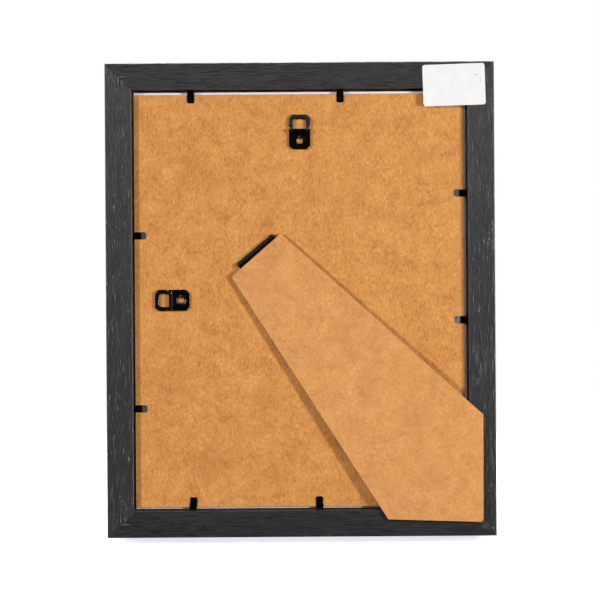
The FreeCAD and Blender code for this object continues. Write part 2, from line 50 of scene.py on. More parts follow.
# Node recipes, for finishes and for shapes alike
class Wire:
    def __init__(self, recipe, socket):
        self.recipe = recipe
        self.socket = socket

    def __add__(self, other):
        return self.recipe.reckon("ADD", self, other)

    def __radd__(self, other):
        return self.recipe.reckon("ADD", other, self)

    def __sub__(self, other):
        return self.recipe.reckon("SUBTRACT", self, other)

    def __rsub__(self, other):
        return self.recipe.reckon("SUBTRACT", other, self)

    def __mul__(self, other):
        return self.recipe.reckon("MULTIPLY", self, other)

    def __rmul__(self, other):
        return self.recipe.reckon("MULTIPLY", other, self)

    def __truediv__(self, other):
        return self.recipe.reckon("DIVIDE", self, other)

    def __abs__(self):
        return self.recipe.reckon("ABSOLUTE", self)

    def __gt__(self, other):
        return self.recipe.reckon("GREATER_THAN", self, other)


class Recipe:
    def __init__(self, tree):
        self.tree = tree

    def pick(self, sockets, key):
        if isinstance(key, int):
            return sockets[key]
        return [s for s in sockets if s.enabled and key in (None, s.name)][0]

    def add(self, kind, settings=None, feeds=None, take=None):
        node = self.tree.nodes.new(kind)
        for key, value in (settings or {}).items():
            setattr(node, key, value)
        for key, value in (feeds or {}).items():
            socket = self.pick(node.inputs, key)
            if isinstance(value, Wire):
                self.tree.links.new(value.socket, socket)
            else:
                socket.default_value = value
        return Wire(self, self.pick(node.outputs, take)) if len(node.outputs) else node

    def more(self, wire, take):          # another output of the same node
        return Wire(self, self.pick(wire.socket.node.outputs, take))

    def reckon(self, operation, *terms):
        return self.add("ShaderNodeMath", {"operation": operation}, dict(enumerate(terms)))

    def greater(self, first, second):
        return self.reckon("MAXIMUM", first, second)

    def rise(self, value, low, high):    # eased from 0 at low to 1 at high
        return self.add("ShaderNodeMapRange", {"interpolation_type": "SMOOTHSTEP"},
                        {"Value": value, "From Min": low, "From Max": high})

    def blend(self, share, first, second):
        first, second = [(*c, 1) if isinstance(c, tuple) else c for c in (first, second)]
        return self.add("ShaderNodeMix", {"data_type": "RGBA"},
                        {"Factor": share, "A": first, "B": second})

    def tint(self, colour, amount):      # a colour made darker or lighter by a number
        grey = self.add("ShaderNodeCombineColor", {}, {0: amount, 1: amount, 2: amount})
        first = (*colour, 1) if isinstance(colour, tuple) else colour
        return self.add("ShaderNodeMix", {"data_type": "RGBA", "blend_type": "MULTIPLY"},
                        {"Factor": 1.0, "A": first, "B": grey})


class Finish(Recipe):
    def __init__(self, name):
        self.material = bpy.data.materials.new(name)
        self.material.use_nodes = True
        super().__init__(self.material.node_tree)
        self.tree.nodes.clear()
        self.place = self.add("ShaderNodeTexCoord", take="Object")
        split = self.add("ShaderNodeSeparateXYZ", {}, {0: self.place}, "X")
        self.x = split * 1000                                   # places in millimetres
        self.y = self.more(split, "Y") * 1000
        self.z = self.more(split, "Z") * 1000

    def laid(self, sizes, turn=(0, 0, 0), shift=(0, 0, 0)):
        # the object's own places, stretched so that a pattern's features are sizes millimetres
        return self.add("ShaderNodeMapping", {"vector_type": "TEXTURE"},
                        {"Vector": self.place, "Scale": [s * mm for s in sizes],
                         "Rotation": turn, "Location": [s * mm for s in shift]})

    def grain(self, size, detail=3.0, rough=0.55, twist=0.0, turn=(0, 0, 0), shift=(0, 0, 0)):
        # noise with features of one size, or of three where they are stretched; then how many
        # finer layers it has, how strong they are, and how far it is distorted
        sizes = size if isinstance(size, tuple) else (size, size, size)
        return self.add("ShaderNodeTexNoise", {},
                        {"Vector": self.laid(sizes, turn, shift), "Scale": 1.0,
                         "Detail": detail, "Roughness": rough, "Distortion": twist})

    def cells(self, size, shift=(0, 0, 0)):                     # distance from scattered spots
        return self.add("ShaderNodeTexVoronoi", {"feature": "F1"},
                        {"Vector": self.laid([size] * 3, shift=shift), "Scale": 1.0}, "Distance")

    def awayFrom(self, spot):            # millimetres from a spot (across, up)
        across, up = self.x - spot[0], self.z - spot[1]
        return self.reckon("SQRT", across * across + up * up)

    def blob(self, spot, radius):        # 1 round a spot, fading to 0 at the radius
        core = 0.15 * radius
        return self.rise(self.awayFrom(spot), radius, core)

    def rubbed(self, colour, marks, mask, tone):                # marks: spot, radius and share
        for spot, radius, share in marks:
            colour = self.blend(self.blob(spot, radius) * mask * share, colour, tone)
        return colour

    def bump(self, height, depth, strength):
        return self.add("ShaderNodeBump", {},
                        {"Height": height, "Distance": depth * mm, "Strength": strength})

    def close(self, feeds):
        surface = self.add("ShaderNodeBsdfPrincipled", {}, feeds)
        self.add("ShaderNodeOutputMaterial", {}, {"Surface": surface})
        return self.material


# Shared ways to make a piece
def newObject(name, data):
    thing = bpy.data.objects.new(name, data)
    scene.collection.objects.link(thing)
    return thing


def newPiece(name, mesh, body, finish=None, replaced=None):
    piece = newObject(name, mesh)
    if finish is not None:
        mesh.materials.clear()
        mesh.materials.append(finish)
    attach(piece, body)
    if replaced:
        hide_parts(*replaced)


def dress(nodeName, finish):             # gives a CAD node that stays its finish
    slots = nodes[nodeName].data.materials
    slots.clear()
    slots.append(finish)


def smoothed(mesh, sharpDegrees):
    mesh.shade_smooth()
    mesh.set_sharp_from_angle(angle=math.radians(sharpDegrees))


def copyOf(nodeName):
    mesh = nodes[nodeName].data.copy()
    mesh.materials.clear()
    shell = bmesh.new()
    shell.from_mesh(mesh)
    bmesh.ops.remove_doubles(shell, verts=shell.verts, dist=0.002 * mm)
    bmesh.ops.dissolve_limit(shell, angle_limit=math.radians(0.5),
                             verts=shell.verts, edges=shell.edges)
    return mesh, shell


def plainMesh(holder):                   # an object's evaluated mesh; the object goes
    shapes = bpy.context.evaluated_depsgraph_get()
    mesh = bpy.data.meshes.new_from_object(holder.evaluated_get(shapes), depsgraph=shapes)
    bpy.data.objects.remove(holder)
    return mesh


def evened(mesh):
    # shading weighed by face size, so that a flat face beside a rounded edge looks flat
    smoothed(mesh, 32)
    holder = newObject("evened", mesh)
    weigher = holder.modifiers.new("evened", "WEIGHTED_NORMAL")
    weigher.keep_sharp = True
    return plainMesh(holder)


def softened(nodeName, width):
    # a copy of a CAD node with its sharp edges rounded
    mesh, shell = copyOf(nodeName)
    sharpFrom = math.radians(30)
    sharp = [e for e in shell.edges if e.is_manifold and e.calc_face_angle() > sharpFrom]
    bmesh.ops.bevel(shell, geom=sharp, offset=width * mm, segments=2, profile=0.5,
                    affect="EDGES", clamp_overlap=True, miter_outer="ARC")
    shell.to_mesh(mesh)
    shell.free()
    return evened(mesh)


def shapeTree(name, inputs):
    tree = bpy.data.node_groups.new(name, "GeometryNodeTree")
    tree.interface.new_socket("Geometry", in_out="OUTPUT", socket_type="NodeSocketGeometry")
    for label, kind in inputs.items():
        tree.interface.new_socket(label, in_out="INPUT", socket_type="NodeSocket" + kind)
    recipe = Recipe(tree)
    start = tree.nodes.new("NodeGroupInput")
    return recipe, {label: Wire(recipe, start.outputs[label]) for label in inputs}


def grown(recipe, values, name):
    # runs a shape's tree with these values and gives back its plain mesh
    holder = newObject(name, bpy.data.meshes.new(name))
    modifier = holder.modifiers.new(name, "NODES")
    modifier.node_group = recipe.tree
    for item in recipe.tree.interface.items_tree:
        if item.in_out == "INPUT" and item.name in values:
            modifier[item.identifier] = values[item.name]
    return plainMesh(holder)


# Camera, lamps and floor
studio = {
    "fieldWidth": 0.3673,       # seen across the picture, at the back of the rails
    "lens": 250.0,
    "sensor": 36.0,
    "clip": (0.05, 50.0),
    "aimAcross": 0.0004,
    "aimUp": 0.145,
    "rollDegrees": 0.38,
    "lamps": {                  # place, width and height, watts
        "softboxLeft": ((2.6, 2.15, 0.95), (0.4, 0.7), 82.0),
        "softboxRight": ((-1.5, 1.25, 0.2), (0.34, 0.3), 31.5),
        "softboxAbove": ((0.0, 2.4, 0.8), (1.6, 0.2), 6.0),
        "softboxOver": ((0.0, -0.25, 1.5), (0.8, 0.16), 22.0),
        "softboxFront": ((0.3, -1.6, 0.9), (1.2, 0.8), 24.0),
    },
    "surround": 0.02,           # what light the room itself gives
    "mirrored": 0.02,           # how bright the room is in a reflection
    "floorSize": 12.0,
    "floorDrop": 0.05 * mm,     # so that it doesn't meet the bottom rail's face
    "floorTone": 0.1,
    "floorMirrored": 0.03,      # and its tone in a reflection
    "floorGlow": (0.51, 0.56, 0.64),                         # what the camera sees in full shade
    "floorLit": 0.55,           # and how much a lit floor adds
    "floorNear": (0.103, 0.35), # across and away: farther off than this it turns plain white
    "floorFar": (0.118, 0.6),
}


def makeCamera():
    data = bpy.data.cameras.new("camera")
    data.lens = studio["lens"]
    data.sensor_width = studio["sensor"]
    data.clip_start, data.clip_end = studio["clip"]
    camera = newObject("camera", data)
    distance = studio["fieldWidth"] * studio["lens"] / studio["sensor"]
    turn = Matrix.Rotation(math.pi, 4, "Z") @ Matrix.Rotation(math.pi / 2, 4, "X")
    turn = turn @ Matrix.Rotation(-math.radians(studio["rollDegrees"]), 4, "Z")
    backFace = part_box("rail_top")[1].y
    stand = (studio["aimAcross"], backFace + distance, studio["aimUp"])
    camera.matrix_world = Matrix.Translation(stand) @ turn
    scene.camera = camera


def makeLamp(name, place, size, watts):
    data = bpy.data.lights.new(name, "AREA")
    data.shape = "RECTANGLE"
    data.size, data.size_y = size
    data.energy = watts
    lamp = newObject(name, data)
    aim = Vector((0, 0, studio["aimUp"])) - Vector(place)
    lamp.location = place
    lamp.rotation_euler = aim.to_track_quat("-Z", "Y").to_euler()


def makeWorld():
    world = bpy.data.worlds.new("room")
    world.use_nodes = True
    scene.world = world
    world.node_tree.nodes.clear()
    room = Recipe(world.node_tree)
    rays = room.add("ShaderNodeLightPath", take="Is Camera Ray")
    seen = room.greater(rays, room.more(rays, "Is Transmission Ray"))
    mirrored = room.more(rays, "Is Glossy Ray") * (studio["mirrored"] - studio["surround"])
    strength = room.greater(seen, studio["surround"] + mirrored)
    sky = room.add("ShaderNodeBackground", {}, {"Color": (1, 1, 1, 1), "Strength": strength})
    room.add("ShaderNodeOutputWorld", {}, {"Surface": sky})


def floorFinish():
    finish = Finish("paleFloor")
    rays = finish.add("ShaderNodeLightPath", take="Is Camera Ray")
    dimmer = studio["floorTone"] - studio["floorMirrored"]
    tone = studio["floorTone"] - finish.more(rays, "Is Glossy Ray") * dimmer
    white = (1.0, 1.0, 1.0)
    plain = finish.add("ShaderNodeBsdfDiffuse", {}, {"Color": finish.tint(white, tone)})
    lit = studio["floorLit"]
    shown = finish.add("ShaderNodeBsdfDiffuse", {}, {"Color": (lit, lit, lit, 1)})
    away = finish.add("ShaderNodeVectorMath", {"operation": "LENGTH"}, {0: finish.place}, 1)
    near, far = studio["floorNear"], studio["floorFar"]
    beside = finish.rise(abs(finish.x) * mm, near[0], far[0])
    beyond = finish.rise(away, near[1], far[1])
    glow = finish.blend(finish.greater(beside, beyond), studio["floorGlow"], white)
    lamp = finish.add("ShaderNodeEmission", {}, {"Color": glow, "Strength": 1.0})
    pale = finish.add("ShaderNodeAddShader", {}, {0: shown, 1: lamp})
    both = finish.add("ShaderNodeMixShader", {}, {0: rays, 1: plain, 2: pale})
    finish.add("ShaderNodeOutputMaterial", {}, {"Surface": both})
    return finish.material


def makeFloor():
    half, level = studio["floorSize"] / 2, -studio["floorDrop"]
    mesh = bpy.data.meshes.new("floor")
    around = ((-half, -half), (half, -half), (half, half), (-half, half))
    mesh.from_pydata([(x, y, level) for x, y in around], [], [(0, 1, 2, 3)])
    mesh.materials.append(floorFinish())
    floor = newObject("floor", mesh)


makeCamera()
for lampName, (lampPlace, lampSize, lampWatts) in studio["lamps"].items():
    makeLamp(lampName, lampPlace, lampSize, lampWatts)
makeWorld()
makeFloor()
print("camera, lamps and floor set")


# Moulding: one profile swept along four sides and mitred by a rule
moulding = {
    "width": 238.4,
    "height": 290.6,
    "face": 22.0,
    "rabbetEdge": 16.4,         # where the rabbet starts, from the outer edge
    "profile": [                # depth from the outer edge, front to back, rounding
        (0.0, -7.5, 1.2), (19.0, -7.5, 0.5), (22.0, -5.9, 0.35), (22.0, -2.7, 0.12),
        (16.4, -2.7, 0.0), (16.4, 7.1, 0.12), (16.0, 7.5, 0.12), (0.4, 7.5, 0.15), (0.0, 7.1, 0.15),
    ],
    "roundingSteps": 4,
    "grooveLength": 0.22,       # the mitre's edges are eased over this
    "grooveShrink": 0.986,
    "nailSlots": (7.0, 8.5, 0.16),                           # lifted from, lifted to, play
    "sides": {                  # quarter turns about the depth axis, where its outer edge starts
        "rail_bottom": (0, (0, 0, 0)),
        "rail_top": (2, (0, 0, 290.6)),
        "rail_left": (1, (-119.2, 0, 145.3)),
        "rail_right": (3, (119.2, 0, 145.3)),
    },
    "grains": {                 # colour strength, much higher on the upright rails as a painted sheen from the side lamps; relief, roughness, gloss
        "blackGrainLevel": (0.24, 0.17, 0.54, 0.8),
        "blackGrainUpright": (1.06, 0.066, 0.43, 0.95),
    },
    "grainTones": ((0.001, 0.001, 0.0012), (0.036, 0.036, 0.0376)),
    "bareTone": (0.13, 0.062, 0.03),
    "wornTone": (0.12, 0.118, 0.108),
    "shares": {"dust": 0.12, "worn": 0.75, "bare": 0.6, "chafed": 0.35, "seam": 0.85},
    "scuffs": [                 # place across and up, radius, share
        ((110.2, 281.6), 2.2, 0.4), ((108.6, 279.2), 1.8, 0.55), ((108.2, 11.4), 1.7, 0.6),
        ((-112.0, 6.5), 3.2, 0.4), ((-109.0, 9.8), 2.0, 0.3),
    ],
}


def mouldingFinish(name, upright):
    look = moulding
    shares = look["shares"]
    strength, depth, matt, gloss = look["grains"][name]
    finish = Finish(name)
    x, y, z = finish.x, finish.y, finish.z

    def along(lengthways, sideways):
        return (sideways, sideways, lengthways) if upright else (lengthways, sideways, sideways)

    halfWidth, halfHeight = look["width"] / 2, look["height"] / 2
    fromSide = halfWidth - abs(x)
    fromEnd = halfHeight - abs(z - halfHeight)
    edge = fromSide if upright else fromEnd                     # depth from the rail's outer edge
    onBack = finish.rise(y, 6.9, 7.3)                           # the back face lies at 7.5
    fibres = finish.grain(along(34.0, 0.884), 4, 0.62, 0.35)
    threads = finish.grain(along(10.2, 0.51), 2, 0.5, 0.2, shift=(3, 5, 7))
    streaks = finish.grain(along(16.0, 0.5), 2, 0.5, 0.3, shift=(7, 7, 2))
    silver = finish.rise(streaks, 0.6, 0.7)
    pits = finish.grain(along(9.0, 0.3), 1, 0.4, shift=(11, 2, 5))
    pores = finish.rise(pits, 0.6, 0.72)
    cloud = finish.grain(along(60.0, 14.0), 2, 0.5)
    dust = finish.rise(finish.grain(0.9, 2, 0.7, shift=(5, 1, 9)), 0.7, 0.8)
    lift = finish.rise(0.26 * fibres + 0.6 * threads + 0.14 * cloud, 0.42, 0.6)
    colour = finish.blend(lift, *look["grainTones"])
    # painted sheen: the upright rails get a far lighter colour than the level rails
    colour = finish.tint(colour, strength * (1.0 + silver - 0.45 * pores))
    colour = finish.blend(dust * shares["dust"], colour, look["wornTone"])
    # the skin is worn along the outer edge and broken away along the rabbet
    ragged = finish.grain(along(5.0, 0.8), 4, 0.7, shift=(1, 8, 3))
    outer = finish.rise(edge, 0.75, 0.1) * finish.rise(y, 6.8, 7.3)
    worn = outer * finish.rise(ragged, 0.47, 0.62)
    colour = finish.blend(worn * shares["worn"], colour, look["wornTone"])
    rabbet = look["rabbetEdge"]
    inner = finish.rise(edge, rabbet - 0.65, rabbet - 0.25) * finish.rise(y, 6.3, 7.2)
    bare = inner * finish.rise(ragged, 0.36, 0.55)
    colour = finish.blend(bare * shares["bare"], colour, look["bareTone"])
    # the mitre's seam, chafed beside it
    mitre = abs(fromSide - fromEnd)
    seam = finish.rise(mitre, 0.5, 0.16) * onBack
    colour = finish.tint(colour, 1.0 - shares["seam"] * seam)
    beside = finish.rise(mitre, 1.6, 0.4) * onBack * (1.0 - seam)
    chafed = beside * finish.rise(ragged, 0.5, 0.66)
    colour = finish.blend(chafed * shares["chafed"], colour, look["wornTone"])
    torn = onBack * finish.rise(ragged, 0.3, 0.52)
    colour = finish.rubbed(colour, look["scuffs"], torn, look["wornTone"])
    height = 0.55 * threads + 0.45 * fibres - 0.7 * pores - 1.5 * seam
    return finish.close({
        "Base Color": colour,
        "Roughness": matt - 0.26 * lift + 0.2 * (worn + bare) + 0.45 * seam,
        "Specular IOR Level": gloss,
        "Normal": finish.bump(height, depth, 0.8),
    })


def roundedProfile():
    # the profile's points, with each corner rounded
    corners = moulding["profile"]
    points = []
    for index, (depth, back, radius) in enumerate(corners):
        here = Vector((depth, back))
        before = (Vector(corners[index - 1][:2]) - here).normalized()
        after = (Vector(corners[(index + 1) % len(corners)][:2]) - here).normalized()
        if radius == 0:
            points.append(here)
            continue
        half = before.angle(after) / 2
        setback = radius / math.tan(half)
        centre = here + (before + after).normalized() * (radius / math.sin(half))
        start, end = here + before * setback - centre, here + after * setback - centre
        steps = moulding["roundingSteps"]
        for step in range(steps + 1):
            points.append(centre + start.slerp(end, step / steps) * radius)
    return points


def profileCurve():
    curve = bpy.data.curves.new("mouldingProfile", "CURVE")
    curve.dimensions = "3D"
    spline = curve.splines.new("POLY")
    points = roundedProfile()
    spline.points.add(len(points) - 1)
    for slot, point in zip(spline.points, points):
        slot.co = (-point.y * mm, -(point.x - moulding["face"] / 2) * mm, 0, 1)
    spline.use_cyclic_u = True
    return newObject("mouldingProfile", curve)


def mouldingTree():
    recipe, given = shapeTree("mitredMoulding", {
        "Profile": "Object", "Length": "Float", "Face": "Float", "Groove Length": "Float",
        "Groove Shrink": "Float", "Nail Slots": "Object", "Tab Slots": "Object",
        "Turn": "Rotation", "Shift": "Vector", "Finish": "Material",
    })
    half = given["Length"] / 2
    middle = given["Face"] / 2
    # four stations: both ends, and just inside each, where the mitre's groove stops
    line = recipe.add("GeometryNodeCurvePrimitiveLine", {}, {"Start": (-1, 0, 0), "End": (1, 0, 0)})
    line = recipe.add("GeometryNodeResampleCurve", {}, {"Curve": line, "Count": 4})
    side = recipe.add("GeometryNodeInputIndex") - 1.5
    isEnd = abs(side) > 1.0
    inset = (1.0 - isEnd) * given["Groove Length"] / half
    share = recipe.reckon("SIGN", side) * (1.0 - inset)
    start = recipe.add("ShaderNodeCombineXYZ", {}, {"X": share, "Z": middle})
    line = recipe.add("GeometryNodeSetPosition", {}, {"Geometry": line, "Position": start})
    outline = recipe.add("GeometryNodeObjectInfo", {}, {"Object": given["Profile"]}, "Geometry")
    shrink = 1.0 - isEnd * (1.0 - given["Groove Shrink"])
    bar = recipe.add("GeometryNodeCurveToMesh", {},
                     {"Curve": line, "Profile Curve": outline, "Scale": shrink, "Fill Caps": True})
    place = recipe.add("GeometryNodeInputPosition")
    parts = recipe.add("ShaderNodeSeparateXYZ", {}, {0: place}, "X")
    depth = recipe.more(parts, "Z")
    along = parts * (half - depth)                              # shorter by the depth at each end
    mitred = recipe.add("ShaderNodeCombineXYZ", {},
                        {"X": along, "Y": recipe.more(parts, "Y"), "Z": depth})
    bar = recipe.add("GeometryNodeSetPosition", {}, {"Geometry": bar, "Position": mitred})
    bar = recipe.add("GeometryNodeTransform", {}, {
        "Geometry": bar, "Rotation": given["Turn"], "Translation": given["Shift"]})
    for cutter in ("Nail Slots", "Tab Slots"):
        tool = recipe.add("GeometryNodeObjectInfo", {}, {"Object": given[cutter]}, "Geometry")
        bar = recipe.add("GeometryNodeMeshBoolean", {"operation": "DIFFERENCE", "solver": "EXACT"},
                         {0: bar, 1: tool})
    bar = recipe.add("GeometryNodeRealizeInstances", {}, {"Geometry": bar})
    bar = recipe.add("GeometryNodeSetMaterial", {}, {"Geometry": bar, "Material": given["Finish"]})
    recipe.add("NodeGroupOutput", {}, {0: bar})
    return recipe


def cutterFrom(nodeName, liftedFrom=None, liftedTo=None, play=0.0):
    # a node's solids, with what lies above a height lifted so that they cut through the surface
    mesh, shell = copyOf(nodeName)
    shell.normal_update()
    for vertex in shell.verts:
        if liftedFrom is not None and vertex.co.y > liftedFrom * mm:
            vertex.co.y = liftedTo * mm
        spread = Vector((vertex.normal.x, 0, vertex.normal.z))
        if play and spread.length > 0:
            vertex.co += spread.normalized() * play * mm
    shell.to_mesh(mesh)
    shell.free()
    return newObject(nodeName + "Cutter", mesh)


def makeMoulding():
    level = mouldingFinish("blackGrainLevel", False)
    upright = mouldingFinish("blackGrainUpright", True)
    tree = mouldingTree()
    outline = profileCurve()
    nailSlots = cutterFrom("corner_v_nails", *moulding["nailSlots"])
    tabSlots = cutterFrom("flex_tab_roots")
    for nodeName, (quarters, shift) in moulding["sides"].items():
        vertical = quarters % 2 == 1
        mesh = grown(tree, {
            "Profile": outline,
            "Length": (moulding["height"] if vertical else moulding["width"]) * mm,
            "Face": moulding["face"] * mm,
            "Groove Length": moulding["grooveLength"] * mm,
            "Groove Shrink": moulding["grooveShrink"],
            "Nail Slots": nailSlots,
            "Tab Slots": tabSlots,
            "Turn": (0, quarters * math.pi / 2, 0),
            "Shift": [s * mm for s in shift],
            "Finish": upright if vertical else level,
        }, nodeName)
        newPiece(nodeName + "_moulding", evened(mesh), "frame", replaced=[nodeName])
    for thing in (outline, nailSlots, tabSlots):
        bpy.data.objects.remove(thing)


makeMoulding()
print("moulding made")


# Raised lips where the V-nails went in
nailLips = {
    "inset": 8.9,               # nail's apex to the frame's outer edges
    "armLength": 5.4,
    "offset": 0.52,             # lip's middle outside the nail's middle
    "radius": 0.29,
    "sink": 0.09,
    "waver": 0.05,
    "waverScale": 900.0,        # how quickly it wavers, and how quickly it swells
    "lumpScale": 1300.0,
    "steps": 22,
    "seed": 4.0,
    "tone": (0.27, 0.25, 0.195),
}


def lipTree():
    look = nailLips
    recipe, given = shapeTree("nailLips", {
        "Width": "Float", "Height": "Float", "Inset": "Float", "Arm Length": "Float",
        "Offset": "Float", "Radius": "Float", "Waver": "Float", "Steps": "Int", "Seed": "Float",
        "Finish": "Material",
    })
    place = recipe.add("GeometryNodeInputPosition")
    # its wavering line and its swelling thickness
    shaken = recipe.add("ShaderNodeTexNoise", {"noise_dimensions": "4D"}, {
        "Vector": place, "W": given["Seed"], "Scale": look["waverScale"], "Detail": 2.0}, "Color")
    shaken = recipe.add("ShaderNodeVectorMath", {"operation": "SUBTRACT"},
                        {0: shaken, 1: (0.5, 0.5, 0.5)})
    shaken = recipe.add("ShaderNodeVectorMath", {"operation": "SCALE"},
                        {0: shaken, "Scale": given["Waver"]})
    lump = recipe.add("ShaderNodeTexNoise", {"noise_dimensions": "4D"}, {
        "Vector": place, "W": given["Seed"] + 3.0, "Scale": look["lumpScale"], "Detail": 1.0})
    share = recipe.add("GeometryNodeSplineParameter", take="Factor")
    taper = recipe.reckon("POWER", recipe.greater(4.0 * share * (1.0 - share), 0.02), 0.4)
    ring = recipe.add("GeometryNodeCurvePrimitiveCircle", {"mode": "RADIUS"},
                      {"Resolution": 8, "Radius": given["Radius"]})
    # two arms that meet outside the nail's apex
    outside = 0 - given["Offset"]
    reach = given["Arm Length"] - given["Offset"]
    first = recipe.add("ShaderNodeCombineXYZ", {}, {"X": outside, "Z": reach})
    corner = recipe.add("ShaderNodeCombineXYZ", {}, {"X": outside, "Z": outside})
    second = recipe.add("ShaderNodeCombineXYZ", {}, {"X": reach, "Z": outside})
    lip = recipe.add("GeometryNodeJoinGeometry")
    for start, end in ((first, corner), (corner, second)):
        arm = recipe.add("GeometryNodeCurvePrimitiveLine", {}, {"Start": start, "End": end})
        arm = recipe.add("GeometryNodeResampleCurve", {}, {"Curve": arm, "Count": given["Steps"]})
        arm = recipe.add("GeometryNodeSetPosition", {}, {"Geometry": arm, "Offset": shaken})
        arm = recipe.add("GeometryNodeCurveToMesh", {}, {
            "Curve": arm, "Profile Curve": ring, "Scale": taper * (0.45 + lump), "Fill Caps": True})
        recipe.tree.links.new(arm.socket, lip.socket.node.inputs[0])
    # one lip at each corner of the frame
    corners = recipe.add("GeometryNodeMeshGrid", {}, {
        "Size X": given["Width"] - 2.0 * given["Inset"],
        "Size Y": given["Height"] - 2.0 * given["Inset"],
        "Vertices X": 2, "Vertices Y": 2,
    })
    corners = recipe.add("GeometryNodeTransform", {},
                         {"Geometry": corners, "Rotation": (math.pi / 2, 0, 0)})
    parts = recipe.add("ShaderNodeSeparateXYZ", {}, {0: place}, "X")
    side, level = recipe.reckon("SIGN", parts), recipe.reckon("SIGN", recipe.more(parts, "Z"))
    bearing = recipe.reckon("ARCTAN2", level, 0 - side)         # from the lower left corner
    turn = recipe.add("ShaderNodeCombineXYZ", {}, {"Y": bearing + math.pi / 4})
    turn = recipe.add("FunctionNodeEulerToRotation", {}, {"Euler": turn})
    lips = recipe.add("GeometryNodeInstanceOnPoints", {},
                      {"Points": corners, "Instance": lip, "Rotation": turn})
    lips = recipe.add("GeometryNodeRealizeInstances", {}, {"Geometry": lips})
    lips = recipe.add("GeometryNodeSetMaterial", {},
                      {"Geometry": lips, "Material": given["Finish"]})
    recipe.add("NodeGroupOutput", {}, {0: lips})
    return recipe


def lipFinish():
    finish = Finish("liftedBlackSkin")
    ragged = finish.grain(0.7, 3, 0.7)
    lifted = finish.rise(ragged, 0.36, 0.56)
    colour = finish.blend(lifted, moulding["grainTones"][0], nailLips["tone"])
    return finish.close({"Base Color": colour, "Roughness": 0.6,
                         "Normal": finish.bump(ragged, 0.1, 0.6)})


def makeNailLips():
    look = nailLips
    mesh = grown(lipTree(), {
        "Width": moulding["width"] * mm, "Height": moulding["height"] * mm,
        "Inset": look["inset"] * mm, "Arm Length": look["armLength"] * mm,
        "Offset": look["offset"] * mm, "Radius": look["radius"] * mm,
        "Waver": look["waver"] * mm, "Steps": look["steps"], "Seed": look["seed"],
        "Finish": lipFinish(),
    }, "nail_lips")
    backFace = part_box("rail_top")[1].y
    middle = (0, backFace - look["sink"] * mm, moulding["height"] / 2 * mm)
    mesh.transform(Matrix.Translation(middle))
    smoothed(mesh, 60)
    newPiece("nail_lips", mesh, "frame")


makeNailLips()
print("nail lips made")


# Hardboard: the back and the leg
hardboard = {
    "boardTones": ((0.41, 0.147, 0.031), (0.61, 0.258, 0.06), (0.76, 0.375, 0.113)),
    "legTones": ((0.495, 0.2, 0.053), (0.642, 0.289, 0.084), (0.76, 0.382, 0.135)),
    "speckTone": (0.17, 0.06, 0.022),
    "sawnTone": (0.42, 0.18, 0.06),
    # the scratch's colour, also used for the painted light in the hanger plates' holes
    "paleTone": (0.93, 0.5, 0.19),
    "clinchHoles": [(0.0, 242.5), (73.2, 145.3)],
    "clinchRadius": 2.4,        # painted light on the board inside each hanger plate's hole, out to this radius
    "boardEdge": 0.14,          # how far the edges are rounded
    "legEdge": 0.22,
    "legTurn": 0.7,             # how far the leg's own lay is turned from the board's
    "relief": 0.09,
    "screenPitch": 1.7,         # the wire screen's print on the unpressed side
    "screenWave": {"Scale": 0.32, "Distortion": 0.6},
    "screenRelief": 0.22,
    "shares": {
        "paleFibres": 0.3, "darkFibres": 0.34, "stain": 0.8, "specks": 0.75, "crumbs": 0.25,
        "scratch": 0.5, "clinch": 0.8,
    },
    "boardSmudges": [           # handling marks, and a small dark patch at the lower end of the hinge barrel: place across and up, radius, share
        ((68, 222), 14, 0.4), ((52, 219), 9, 0.35), ((78, 96), 16, 0.45), ((90, 118), 12, 0.3),
        ((58, 45), 18, 0.5), ((42, 60), 12, 0.35), ((84, 160), 9, 0.25), ((20, 86), 14, 0.3),
        ((-70, 232), 13, 0.3), ((-30, 208), 16, 0.2), ((92, 60), 10, 0.3), ((14, 34), 12, 0.35),
        ((-6, 250), 8, 0.2), ((40.2, 165.6), 2.4, 1.0), ((-84, 168), 10, 0.25),
    ],
    "legSmudges": [
        ((16, 179), 3.6, 1.0), ((20.5, 181.0), 2.4, 1.0), ((11, 175), 4, 0.35),
        ((-46, 96), 12, 0.25), ((-80, 36), 12, 0.3), ((-70, 72), 15, 0.25), ((-25, 130), 10, 0.15),
    ],
    "scratch": ((65.0, 38.5), (57.0, 21.0), 0.9, 0.35),      # its two ends, bow and half width
}


def scratchMask(finish, start, end, bow, halfWidth):
    # a thin bowed line from start to end, both (x, z)
    run = Vector(end) - Vector(start)
    along = run.normalized()
    x, z = finish.x - start[0], finish.z - start[1]
    share = (x * along.x + z * along.y) / run.length
    offset = z * along.x - x * along.y
    away = abs(offset - 4.0 * bow * share * (1.0 - share))
    within = finish.rise(share, 0.0, 0.12) * finish.rise(share, 1.0, 0.88)
    return finish.rise(away, halfWidth, halfWidth * 0.3) * within


